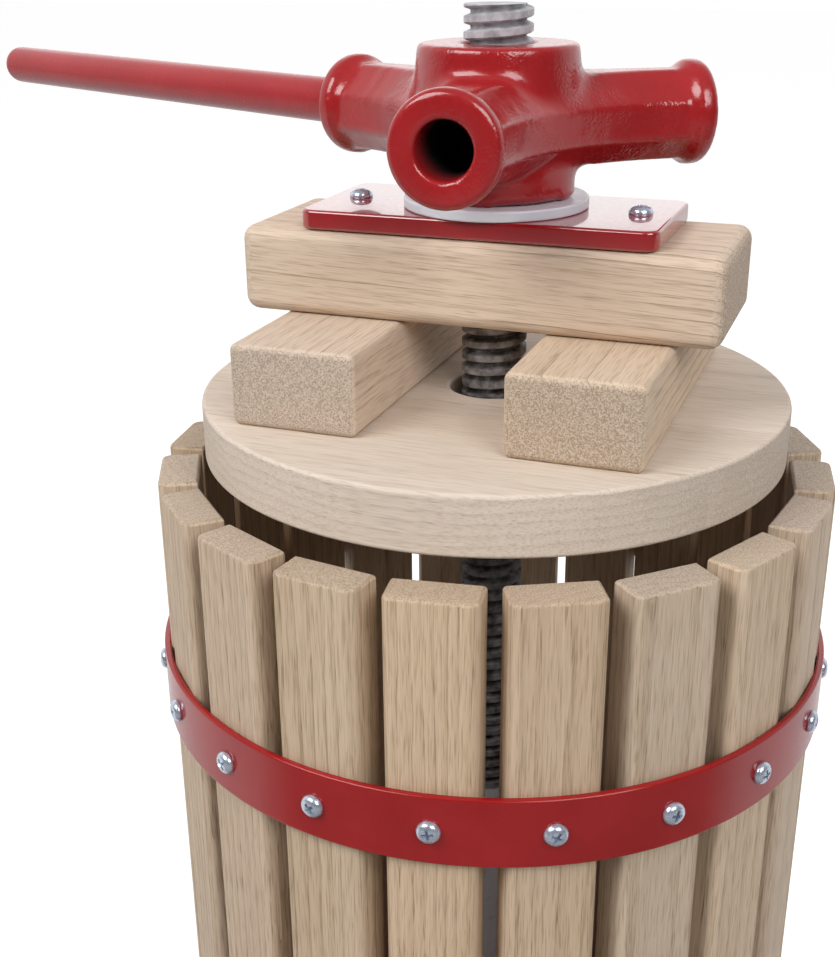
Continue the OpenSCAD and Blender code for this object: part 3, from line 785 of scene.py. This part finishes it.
def makePlate(p):
    low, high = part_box("pressure_plate")
    bm = barStock(high - low, (low + high) / 2)
    ease(bm, p["corner"], 7, isUpright)
    middle, half = (low.z + high.z) / 2, (high.z - low.z) / 2
    onFace = lambda e: abs(middleOf(e).z - middle) > half - endZone
    ease(bm, p["eased"], 4, lambda e: not isUpright(e) and onFace(e))
    bm = carve(bm, [drillThrough(p["hole"], low.z, high.z)])
    finishPiece("pressurePlate", bm, "press_stack", plateRed, ["pressure_plate"])
    places = []
    for side in (-1, 1):
        stand = Matrix.Translation((side * p["screwAt"], 0, high.z))
        spin = Matrix.Rotation(chance.uniform(0, 3), 4, "Z")
        places.append(stand @ spin @ Matrix.Scale(p["screwSize"], 4))
    screws = addCopies(screwPattern, places)
    finishPiece(
        "plateScrews", screws, "press_stack", zincSteel, ["plate_screws"],
        sharp=35, weighted=False)


washer = {"bore": 14.4 * mm, "eased": 0.9 * mm}


def makeWasher(w):
    low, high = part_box("thrust_washer")
    bm = ring(w["bore"], high.x, low.z, high.z, steps=128)
    ease(bm, w["eased"], 3)
    finishPiece("nylonWasher", bm, "press_stack", whiteNylon, ["thrust_washer"])


makePlate(plate)
makeWasher(washer)
print("press stack made")

# head and handle
head = {
    "bore": 14.4 * mm, "boreEdge": 1.5 * mm, "foot": 32.25 * mm, "footEdge": 1.6 * mm, "cone": 35.5 * mm,
    "top": 32.5 * mm, "topEdge": 1.8 * mm, "skin": 25 * mm, "armFlats": 36 * mm, "armOver": 12 * mm,
    "armUnder": 9.5 * mm, "webRound": 105 * mm, "reach": 89 * mm, "flare": 21.5 * mm, "flareLong": 14 * mm,
    "rimRound": 3.2 * mm, "mouthRound": 0.9 * mm, "socket": 10.75 * mm, "socketFloor": 33 * mm,
    "socketWall": 13 * mm, "painted": 22 * mm, "bareOver": 0.5 * mm, "firstArm": 155, "voxel": 0.9 * mm,
    "neckStep": 0.8 * mm, "neckLong": 2.5 * mm, "swellLong": 6.5 * mm, "armFrom": 30 * mm,
    "roots": (27 * mm, 58 * mm), "necks": (60 * mm, 84 * mm),
    "allPasses": 8, "rootPasses": 60, "neckPasses": 16,
}


def takeIn(bm, other):
    mesh = asMesh("takenIn", other)
    bm.from_mesh(mesh)
    bpy.data.meshes.remove(mesh)


def makeHub(a, low, high):
    axis = (low + high) / 2
    bm = spun([
        (a["bore"], low), (a["foot"], low), (a["foot"], axis), (a["cone"], axis), (a["top"], high),
        (a["bore"] + a["boreEdge"], high), (a["bore"], high - a["boreEdge"]),
    ], steps=96, closed=True)
    outside = lambda e: e.verts[0].co.xy.length > a["skin"]
    ease(bm, a["topEdge"], 5, lambda e: outside(e) and middleOf(e).z > high - endZone)
    ease(bm, a["footEdge"], 3, lambda e: outside(e) and middleOf(e).z < low + endZone)
    return bm


# three arms in one slab: straight sides, hollow curves from arm to arm, shoulders over and under
def makeArms(a):
    half, third = a["armFlats"] / 2, math.tau / 3
    leaves = (half + a["webRound"]) / math.tan(third / 2)
    end = a["reach"] - a["flareLong"] / 2
    bm = bmesh.new()
    for arm in range(3):
        turn = Matrix.Rotation(third * arm, 4, "Z")
        sides = ((leaves, -half), (end, -half), (end, half), (leaves, half))
        corners = [bm.verts.new(turn @ Vector((x, y, -half))) for x, y in sides]
        for pair in zip(corners, corners[1:]):
            bm.edges.new(pair)
        centre = turn @ Vector((leaves, half + a["webRound"], -half))
        bmesh.ops.spin(bm, geom=corners[3:], cent=centre, axis=(0, 0, 1), angle=third - math.pi, steps=14)
    bmesh.ops.remove_doubles(bm, verts=bm.verts, dist=1e-5)
    bmesh.ops.edgeloop_fill(bm, edges=bm.edges)
    extruded(bm, bm.faces[:], (0, 0, 2 * half))
    alongArm = lambda e: min(v.co.xy.length for v in e.verts) < end
    ease(bm, a["armOver"], 1, lambda e: alongArm(e) and middleOf(e).z > half - touching)
    ease(bm, a["armUnder"], 1, lambda e: alongArm(e) and middleOf(e).z < touching - half)
    return bm


# round flared end about +Z, with a wide soft rim
def makeFlare(a):
    back, front, hole = a["reach"] - a["flareLong"], a["reach"], a["socket"]
    neck = a["armFlats"] / 2
    bm = spun([
        (hole, back), (neck - a["neckStep"], back), (neck, back + a["neckLong"]),
        (a["flare"], back + a["swellLong"]), (a["flare"], front), (hole, front),
    ], steps=72, closed=True)
    level = lambda e: abs(e.verts[0].co.z - e.verts[1].co.z) < 1e-6
    inFront = lambda e: level(e) and middleOf(e).z > front - endZone
    atRim = lambda e: inFront(e) and e.verts[0].co.xy.length > a["flare"] - touching
    atMouth = lambda e: inFront(e) and e.verts[0].co.xy.length < hole + touching
    ease(bm, a["rimRound"], 8, atRim)
    ease(bm, a["mouthRound"], 3, atMouth)
    return bm


def smoothOver(bm, verts, passes):
    for turn in range(passes):
        bmesh.ops.smooth_vert(
            bm, verts=verts, factor=0.5, use_axis_x=True, use_axis_y=True, use_axis_z=True)


# vertices in a hollow corner, and those a few edges around them
def hollowVerts(bm, wanted, rings):
    folds = [e for e in bm.edges if len(e.link_faces) == 2 and e.calc_face_angle_signed(0) < -0.12]
    found = {v for e in folds for v in e.verts if wanted(v.co)}
    for step in range(rings):
        found |= {e.other_vert(v) for v in found for e in v.link_edges}
    return [v for v in found if wanted(v.co)]


def makeHead(a):
    low, high = (corner.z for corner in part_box("press_head"))
    axisHigh = (low + high) / 2
    turns = [Matrix.Rotation(math.radians(a["firstArm"] + 120 * arm), 4, "Z") for arm in range(3)]
    level = Matrix.Translation((0, 0, axisHigh))
    lying = [level @ turn @ Matrix.Rotation(math.pi / 2, 4, "Y") for turn in turns]
    rods = [moved(drillRod(a["socket"], a["socketFloor"], a["reach"] + drillOver), lie) for lie in lying]
    bm = carve(moved(makeArms(a), level @ turns[0]), rods)
    takeIn(bm, makeHub(a, low, high))
    for lie in lying:
        takeIn(bm, moved(makeFlare(a), lie))
    casting = throwaway(bm)
    melt = casting.modifiers.new("melt", "REMESH")
    melt.mode = "VOXEL"
    melt.voxel_size = a["voxel"]
    bm = evaluated(casting)
    back = [turn.inverted() for turn in turns]

    def fromSocket(co):
        local = [b @ Vector((co.x, co.y, co.z - axisHigh)) for b in back]
        return min((math.hypot(p.y, p.z) for p in local if p.x > a["armFrom"]), default=1.0)

    smoothOver(bm, bm.verts, a["allPasses"])
    onSkin = lambda co, span: span[0] < co.xy.length < span[1] and fromSocket(co) > a["socketWall"]
    smoothOver(bm, hollowVerts(bm, lambda co: onSkin(co, a["roots"]), 6), a["rootPasses"])
    smoothOver(bm, hollowVerts(bm, lambda co: onSkin(co, a["necks"]), 3), a["neckPasses"])
    # the sockets darken towards their floors: unpainted iron there, and painted shade in the recess
    darkIronAndShade = bm.verts.layers.float.new("bareIronAndShade")
    for v in bm.verts:
        depth = (a["reach"] - v.co.xy.length) / a["painted"]
        v[darkIronAndShade] = min(max(depth, 0.0), 1.0) if fromSocket(v.co) < a["socket"] + a["bareOver"] else 0.0
    finishPiece(
        "pressHeadCasting", bm, "head", castRed, ["press_head"],
        sharp=180, weighted=False)
    return axisHigh


handle = {"radius": 10 * mm, "length": 358 * mm, "farEdge": 8 * mm, "nearEdge": 2 * mm}


def makeHandle(h, axisHigh):
    near = head["socketFloor"]
    far = near + h["length"]
    bm = spun([(0, near), (h["radius"], near), (h["radius"], far), (0, far)], steps=64)
    ease(bm, h["farEdge"], 7, lambda e: middleOf(e).z > far - endZone)
    ease(bm, h["nearEdge"], 3, lambda e: middleOf(e).z < near + endZone)
    turn = Matrix.Rotation(math.radians(head["firstArm"]), 4, "Z") @ Matrix.Rotation(math.pi / 2, 4, "Y")
    moved(bm, Matrix.Translation((0, 0, axisHigh)) @ turn)
    finishPiece("handleBar", bm, "handle", barRed, ["handle_bar"])


axisHigh = makeHead(head)
makeHandle(handle, axisHigh)
print("head and handle made")

# spindle
spindle = {
    "crest": 14 * mm, "root": 11.3 * mm, "pitch": 6 * mm, "threadFrom": 351.5 * mm, "shaft": 13 * mm,
    "shaftFrom": 134 * mm, "shaftEdge": 1.5 * mm, "stud": 12 * mm, "studEdge": 1.2 * mm,
    "crestRound": 0.45 * mm, "rootRound": 0.25 * mm, "stepsATurn": 40,
}


def makeSpindle(s):
    low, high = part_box("spindle")
    pitch, crest, root = s["pitch"], s["crest"], s["root"]
    start = s["threadFrom"] - pitch
    turns = math.ceil((high.z - start) / pitch) + 1
    bm = bmesh.new()
    hollow, shoulder = root + s["rootRound"], crest - s["crestRound"]
    chain = [  # one turn of the thread, as radius and share of the pitch
        (root, 0), (root, 0.19), (hollow, 0.235), (shoulder, 0.345), (crest, 0.40),
        (crest, 0.82), (shoulder, 0.875), (hollow, 0.985), (root, 1.0),
    ]
    verts = [bm.verts.new((r, 0, start + share * pitch)) for r, share in chain]
    edges = [bm.edges.new(pair) for pair in zip(verts, verts[1:])]
    steps = turns * s["stepsATurn"]
    bmesh.ops.spin(
        bm, geom=verts + edges, cent=(0, 0, 0), axis=(0, 0, 1), dvec=(0, 0, pitch / s["stepsATurn"]),
        angle=math.tau * turns, steps=steps, use_merge=False)
    bmesh.ops.remove_doubles(bm, verts=bm.verts, dist=2e-5)
    for height, keep in ((high.z, 1), (s["threadFrom"], -1)):
        bmesh.ops.bisect_plane(
            bm, geom=bm.verts[:] + bm.edges[:] + bm.faces[:], dist=1e-7, plane_co=(0, 0, height),
            plane_no=(0, 0, keep), clear_outer=True)
        rim = [e for e in bm.edges if e.is_boundary and abs(middleOf(e).z - height) < 1e-6]
        bmesh.ops.edgeloop_fill(bm, edges=rim)
    stud, thick, top = s["stud"], s["shaft"], s["threadFrom"]
    shaft = spun([
        (0, low.z), (stud - s["studEdge"], low.z), (stud, low.z + s["studEdge"]), (stud, s["shaftFrom"]),
        (thick, s["shaftFrom"]), (thick, top - s["shaftEdge"]), (thick - s["shaftEdge"], top), (0, top),
    ], steps=64)
    takeIn(bm, shaft)
    bmesh.ops.recalc_face_normals(bm, faces=bm.faces)
    finishPiece(
        "screwSpindle", bm, "base", spindleSteel, ["spindle"],
        sharp=50, weighted=False)


makeSpindle(spindle)
print("spindle made")

# base
tray = {
    "hole": 12.5 * mm, "sheet": 2 * mm, "rimFoot": 173.2 * mm, "rimTop": 176.4 * mm, "lip": 182.4 * mm,
    "floorRound": 7 * mm, "spoutWide": 44 * mm, "spoutEnd": 228 * mm, "mouthHigh": 14 * mm,
    "channelFrom": 11 * mm, "channelOver": 10 * mm, "channelHigh": 60 * mm, "channelEdge": 4 * mm,
    "boltAt": 104 * mm, "boltHole": 4.5 * mm,
}
legAngles = (90, 210, 330)


def makeTray(t):
    low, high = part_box("juice_tray")
    sheet, floor = t["sheet"], low.z + t["sheet"]
    bm = spun([
        (t["hole"], floor), (t["rimFoot"], floor), (t["rimTop"], high.z), (t["lip"], high.z),
        (t["lip"], high.z - sheet), (t["rimTop"] + sheet, high.z - sheet), (t["rimFoot"] + sheet, low.z),
        (t["hole"], low.z),
    ], steps=160, closed=True)
    inCorner = lambda v: abs(v.co.xy.length - t["rimFoot"]) < touching and abs(v.co.z - floor) < touching
    bmesh.ops.bevel(
        bm, geom=[e for e in bm.edges if all(inCorner(v) for v in e.verts)], offset=t["floorRound"],
        offset_type="OFFSET", affect="EDGES", segments=5, profile=0.5, material=-1)
    side = [
        (t["rimFoot"], low.z), (t["spoutEnd"], low.z), (t["spoutEnd"], floor + t["mouthHigh"]),
        (t["rimTop"] + sheet, high.z), (t["rimTop"], high.z), (t["rimFoot"], floor),
    ]
    spout = bmesh.new()
    face = spout.faces.new([spout.verts.new((-t["spoutWide"] / 2, -r, z)) for r, z in side])
    extruded(spout, [face], (t["spoutWide"], 0, 0))
    bm = carve(bm, [spout], join=True)
    inside = t["spoutWide"] - 2 * sheet
    start, end = t["rimFoot"] - t["channelFrom"], t["spoutEnd"] + t["channelOver"]
    size = (inside, end - start, t["channelHigh"])
    channel = barStock(size, (0, -(start + end) / 2, floor + t["channelHigh"] / 2))
    atFloor = lambda e: middleOf(e).z < floor + endZone
    ease(channel, t["channelEdge"], 4, lambda e: atFloor(e) and abs(middleOf(e).x) > touching)
    cutters = [channel]
    for angle in legAngles:
        around = math.radians(angle)
        x, y = t["boltAt"] * math.cos(around), t["boltAt"] * math.sin(around)
        cutters.append(drillThrough(t["boltHole"], low.z, floor, x, y, steps=24))
    bm = carve(bm, cutters)
    finishPiece("juiceTray", bm, "base", hoopRed, ["juice_tray"], sharp=35)


bearer = {"hub": 40 * mm, "wide": 60 * mm, "reach": 124 * mm, "hole": 12.5 * mm, "eased": 1 * mm}


def makeBearer(b):
    low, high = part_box("bearer")
    bm = drillRod(b["hub"], low.z, high.z, steps=64)
    arms = []
    for angle in legAngles:
        arm = barStock((b["reach"], b["wide"], high.z - low.z), (b["reach"] / 2, 0, (low.z + high.z) / 2))
        arms.append(moved(arm, Matrix.Rotation(math.radians(angle), 4, "Z")))
    bm = carve(bm, arms, join=True)
    bm = carve(bm, [drillThrough(b["hole"], low.z, high.z)])
    piece = finishPiece("trayBearer", bm, "base", hoopRed, ["bearer"], sharp=35, weighted=False)
    soften(piece, b["eased"])


leg = {
    "wide": 40 * mm, "thick": 6 * mm, "tabEnd": 84 * mm, "tabBend": 130 * mm, "footBend": 165.5 * mm,
    "footEnd": 200 * mm, "bend": 9 * mm, "corner": 9 * mm, "eased": 0.8 * mm, "footHole": 4.5 * mm,
    "footAt": 185 * mm,
}


def makeLeg(name, node, angle, g):
    top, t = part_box(node)[1].z, g["thick"]
    rise = math.atan2(top - t, g["footBend"] - g["tabBend"])
    lean = t * math.tan(rise / 2)
    outline = [
        (g["tabEnd"], top), (g["tabBend"], top), (g["footBend"], t), (g["footEnd"], t),
        (g["footEnd"], 0), (g["footBend"] - lean, 0), (g["tabBend"] - lean, top - t),
        (g["tabEnd"], top - t),
    ]
    bm = bmesh.new()
    face = bm.faces.new([bm.verts.new((r, -g["wide"] / 2, z)) for r, z in outline])
    extruded(bm, [face], (0, g["wide"], 0))
    isAcross = lambda e: abs(e.verts[0].co.y - e.verts[1].co.y) > touching
    isInside = lambda e: g["tabEnd"] + endZone < e.verts[0].co.x < g["footEnd"] - endZone
    ease(bm, g["bend"], 5, lambda e: isAcross(e) and isInside(e))
    ease(bm, g["corner"], 5, lambda e: isUpright(e) and not isInside(e))
    ease(bm, g["eased"], 2, lambda e: e.calc_face_angle(0) > 1.0)
    bm = carve(bm, [
        drillThrough(tray["boltHole"], top - t, top, tray["boltAt"], steps=24),
        drillThrough(g["footHole"], 0, t, g["footAt"], steps=32),
    ])
    moved(bm, Matrix.Rotation(math.radians(angle), 4, "Z"))
    finishPiece(name, bm, "base", hoopRed, [node], sharp=35)


makeTray(tray)
makeBearer(bearer)
legs = (("rearLeg", "leg_rear"), ("leftLeg", "leg_left"), ("rightLeg", "leg_right"))
for (name, node), angle in zip(legs, legAngles):
    makeLeg(name, node, angle, leg)
print("tray, bearer and legs made")

fastener = {
    "boltHead": 8.5 * mm, "boltHeadHigh": 4.5 * mm, "bolt": 4 * mm, "boltEdge": 0.8 * mm,
    "nutFlat": 13 * mm, "nutPlay": 0.15 * mm, "clampFlat": 36 * mm, "clampHole": 12.15 * mm,
    "washerEdge": 0.7 * mm, "collarEdge": 1.6 * mm,
}


def makeNut(flats, low, high, hole):
    across = flats / math.cos(math.pi / 6) / 2
    bm = bmesh.new()
    bmesh.ops.create_cone(
        bm, cap_ends=True, segments=6, radius1=across, radius2=across, depth=high - low,
        matrix=Matrix.Translation((0, 0, (low + high) / 2)))
    wide, drop = across * 1.02, 0.12 * flats
    cap = spun([  # lens that turns the six corners down
        (0, low), (flats * 0.47, low), (wide, low + drop), (wide, high - drop), (flats * 0.47, high),
        (0, high),
    ], steps=48)
    nut, lens = throwaway(bm), throwaway(cap)
    addBoolean(nut, "INTERSECT", lens)
    return carve(evaluated(nut, [lens]), [drillThrough(hole, low, high, steps=32)])


def atLegs(pattern):
    turns = [Matrix.Rotation(math.radians(angle), 4, "Z") for angle in legAngles]
    return addCopies(pattern, [turn @ Matrix.Translation((tray["boltAt"], 0, 0)) for turn in turns])


def makeFasteners(f):
    low, high = (c.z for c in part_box("leg_bolts"))
    r, h, thin = f["boltHead"], f["boltHeadHigh"], f["bolt"]
    under = high - h
    bolt = spun([
        (0, low), (thin - f["boltEdge"], low), (thin, low + f["boltEdge"]), (thin, under), (r * 0.97, under),
        (r, under + h * 0.1), (r * 0.93, under + h * 0.45), (r * 0.75, under + h * 0.74),
        (r * 0.5, under + h * 0.92), (r * 0.25, under + h * 0.985), (0, high),
    ], steps=32)
    bolts = atLegs(asMesh("boltPattern", bolt))
    finishPiece("legBolts", bolts, "base", zincSteel, ["leg_bolts"], sharp=35, weighted=False)
    low, high = (c.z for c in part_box("leg_nuts"))
    nuts = atLegs(asMesh("nutPattern", makeNut(f["nutFlat"], low, high, f["bolt"] + f["nutPlay"])))
    finishPiece("legNuts", nuts, "base", zincSteel, ["leg_nuts"], sharp=30, weighted=False)
    low, high = (c.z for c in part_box("clamp_nut"))
    nut = makeNut(f["clampFlat"], low, high, f["clampHole"])
    finishPiece("clampNut", nut, "base", zincSteel, ["clamp_nut"], sharp=30, weighted=False)
    for name, node, slot, steel, edge in (
        ("clampWasher", "clamp_washer", "zinc_steel", zincSteel, f["washerEdge"]),
        ("spindleCollar", "spindle_collar", "screw_steel", collarSteel, f["collarEdge"]),
    ):
        low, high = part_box(node)
        bm = ring(f["clampHole"], high.x, low.z, high.z, steps=72)
        ease(bm, edge, 3)
        finishPiece(name, bm, "base", steel, [node])


makeFasteners(fastener)
print("fasteners made")

# floor, light and background
studio = {
    "floorSize": 14.0, "floorDrop": 0.5 * mm, "floorGlow": 0.84, "mirrorGlow": 0.52,
    # the dark colour and its reach on the camera's side are a painted dark reflection, seen in mirrors alone
    "floorPale": (0.39, 0.39, 0.39, 1), "floorDull": (0.37, 0.37, 0.37, 1), "paintedDarkReflection": (0.26, 0.26, 0.26, 1),
    "darkReflectionFrom": 0.15, "darkReflectionTo": 0.45, "front": 0.05, "behind": 1.0, "overhead": 0.3,
    "sweepFrom": -0.35, "sweepTo": 0.55, "skyFrom": 0.45, "skyTo": 0.9,
}


# floor and background are white where they are seen straight or through glass
def seenRays(tree):
    rays = addNode(tree, "LightPath").outputs
    return calc(tree, "MAXIMUM", rays["Is Camera Ray"], rays["Is Transmission Ray"])


def makeFloor(s):
    bm = bmesh.new()
    bmesh.ops.create_grid(bm, x_segments=8, y_segments=8, size=s["floorSize"])
    mesh = asMesh("studioFloor", bm)
    floor = bpy.data.objects.new("studioFloor", mesh)
    floor.location.z = -s["floorDrop"]
    scene.collection.objects.link(floor)
    material, tree, skin = newMaterial("studioFloor")
    place = addNode(tree, "TexCoord").outputs["Object"]
    speck = noise(tree, place, 3.0)
    skin.inputs["Roughness"].default_value = 0.9
    skin.inputs["Specular IOR Level"].default_value = 0.0
    seen = seenRays(tree)
    mirrored = addNode(tree, "LightPath").outputs["Is Glossy Ray"]
    # a painted dark reflection on the camera's side: the floor turns dark there for mirrored rays alone
    turn = math.radians(camera["azimuth"])

    def along(axis):
        return addNode(tree, "VectorMath", {0: place, 1: axis}, operation="DOT_PRODUCT").outputs["Value"]

    across = calc(tree, "ABSOLUTE", along((math.cos(turn), math.sin(turn), 0)))
    ahead = along((math.sin(turn), -math.cos(turn), 0))
    paintedDarkReflection = remap(tree, calc(tree, "DIVIDE", ahead, across), s["darkReflectionFrom"], s["darkReflectionTo"])
    pale = blendColour(tree, speck, s["floorPale"], s["floorDull"])
    shown = blendColour(tree, times(tree, paintedDarkReflection, mirrored), pale, s["paintedDarkReflection"])
    feed(tree, skin.inputs["Base Color"], shown)
    white = times(tree, calc(tree, "SUBTRACT", 1.0, paintedDarkReflection), s["mirrorGlow"])
    white = times(tree, white, mirrored)
    glow = calc(tree, "MAXIMUM", times(tree, seen, s["floorGlow"]), white)
    feed(tree, skin.inputs["Emission Strength"], glow)
    skin.inputs["Emission Color"].default_value = (1, 1, 1, 1)
    mesh.materials.append(material)


# a white sweep stands behind the press, and the room on the camera's side is dim
def makeWorld(s):
    world = bpy.data.worlds.new("studioWorld")
    world.use_nodes = True
    tree = world.node_tree
    turn = math.radians(camera["azimuth"])
    away = (-math.sin(turn), math.cos(turn), 0)
    towards = addNode(tree, "TexCoord").outputs["Generated"]
    depth = addNode(tree, "VectorMath", {0: towards, 1: away}, operation="DOT_PRODUCT").outputs["Value"]
    rise = addNode(tree, "SeparateXYZ", {0: towards}).outputs[2]
    room = remap(tree, depth, s["sweepFrom"], s["sweepTo"], s["front"], s["behind"], soft=True)
    sky = remap(tree, rise, s["skyFrom"], s["skyTo"], soft=True)
    room = addNode(tree, "Mix", {0: sky, 2: room, 3: s["overhead"]}).outputs[0]
    seen = seenRays(tree)
    backdrop = tree.nodes["Background"]
    backdrop.inputs["Color"].default_value = (1, 1, 1, 1)
    feed(tree, backdrop.inputs["Strength"], calc(tree, "MAXIMUM", seen, room))
    scene.world = world


lamps = [
    {"name": "leftSoftbox", "at": (-1.25, -1.75, 2.4), "aim": 0.5, "wide": 1.8, "high": 1.4, "power": 58},
    {"name": "rightSoftbox", "at": (1.7, -1.5, 2.2), "aim": 0.5, "wide": 1.6, "high": 1.4, "power": 45},
    {"name": "rearSoftbox", "at": (-0.87, 2.29, 1.35), "aim": 0.6, "wide": 2.6, "high": 1.1, "power": 3.5},
]


def makeLamp(box):
    light = bpy.data.lights.new(box["name"], "AREA")
    light.shape = "RECTANGLE"
    light.size = box["wide"]
    light.size_y = box["high"]
    light.energy = box["power"]
    lamp = bpy.data.objects.new(box["name"], light)
    scene.collection.objects.link(lamp)
    lamp.location = box["at"]
    towards = Vector((0, 0, box["aim"])) - Vector(box["at"])
    lamp.rotation_euler = towards.to_track_quat("-Z", "Y").to_euler()


makeFloor(studio)
makeWorld(studio)
for box in lamps:
    makeLamp(box)
print("floor and light made")
